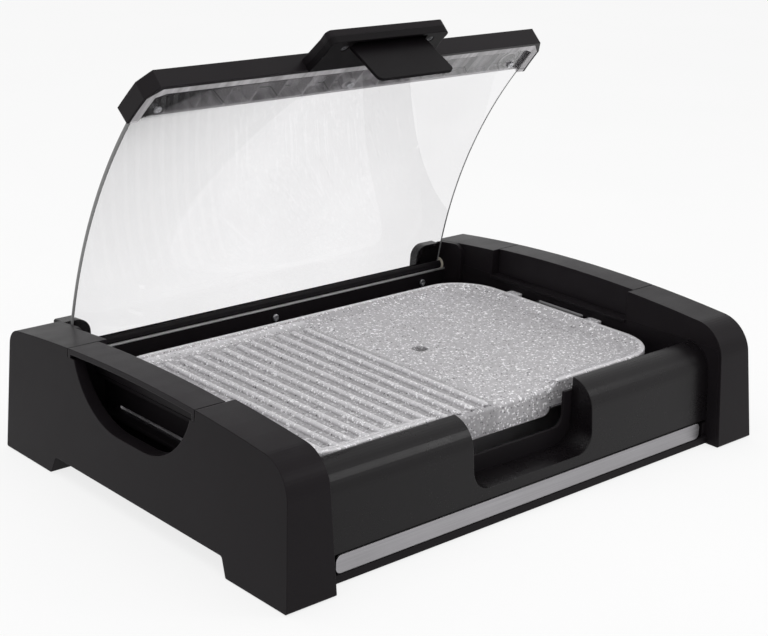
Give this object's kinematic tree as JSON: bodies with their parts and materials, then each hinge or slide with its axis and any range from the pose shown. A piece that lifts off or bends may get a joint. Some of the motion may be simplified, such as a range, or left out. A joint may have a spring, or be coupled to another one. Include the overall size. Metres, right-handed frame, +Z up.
{
  "type": "electric indoor grill",
  "caption": "Wide countertop electric grill with a half ridged, half flat plate, a curved glass lid hinged at the back, side hand openings and a drip tray that slides out in front.",
  "frame": {"origin": "middle of the footprint, on the surface that the rubber pads stand on", "axes": "+X to the right, towards the temperature control; +Y to the back, towards the lid hinge; +Z up"},
  "size_m": [0.5298, 0.3747, 0.3579],
  "materials": {
    "housing_plastic": "fine-grained black moulding",
    "grip_plastic": "satin black moulding",
    "inner_plastic": "smooth black moulding",
    "panel_plastic": "smooth black moulding",
    "bright_trim": "bright strip",
    "cover_plastic": "plain black moulding",
    "pad_rubber": "matt",
    "tray_steel": "brushed sheet",
    "bush_plastic": "natural heat-proof plastic",
    "reflector_metal": "dull bright sheet",
    "screw_steel": "zinc plated",
    "granite_coating": "light grey speckled non-stick coating on cast aluminium",
    "heater_sheath": "heat-tinted tube",
    "pin_metal": "bright turned",
    "insulator_white": "unglazed white insulator",
    "guard_steel": "bright sheet",
    "lid_glass": "clear tempered glass",
    "lid_plastic": "satin black moulding"
  },
  "bodies": {
    "base": {"left_end_cap": "housing_plastic", "right_end_cap": "housing_plastic", "left_grip": "grip_plastic", "right_grip": "grip_plastic", "left_inner_wall": "inner_plastic", "right_inner_wall": "inner_plastic", "front_panel": "panel_plastic", "front_inner_wall": "inner_plastic", "rear_panel": "panel_plastic", "rear_inner_wall": "inner_plastic", "rear_trim_strip": "bright_trim", "bottom_cover": "cover_plastic", "rubber_feet": "pad_rubber", "left_tray_runner": "tray_steel", "right_tray_runner": "tray_steel", "left_hinge_bush": "bush_plastic", "right_hinge_bush": "bush_plastic", "heat_reflector": "reflector_metal", "rear_wall_screws": "screw_steel", "case_screws": "screw_steel", "grill_plate": "granite_coating", "heating_element": "heater_sheath", "terminal_pins": "pin_metal", "terminal_insulators": "insulator_white", "probe_guard": "guard_steel", "probe_guard_screws": "screw_steel"},
    "lid": {"lid_glass": "lid_glass", "lid_frame": "lid_plastic", "lid_handle": "lid_plastic", "handle_guard": "lid_plastic", "lid_frame_screws": "screw_steel", "handle_screws": "screw_steel", "hinge_rail": "lid_plastic", "hinge_pins": "pin_metal"},
    "tray": {"drip_tray": "tray_steel"}
  },
  "joints": [
    {"name": "lid_hinge", "type": "hinge", "parent": "base", "child": "lid", "pos_m": [0, 0.1685, 0.083], "axis": [1, 0, 0], "range_deg": [0, 60.5]},
    {"name": "drip_tray_slide", "type": "slide", "parent": "base", "child": "tray", "axis": [0, -1, 0], "range_m": [0, 0.28]}
  ]
}
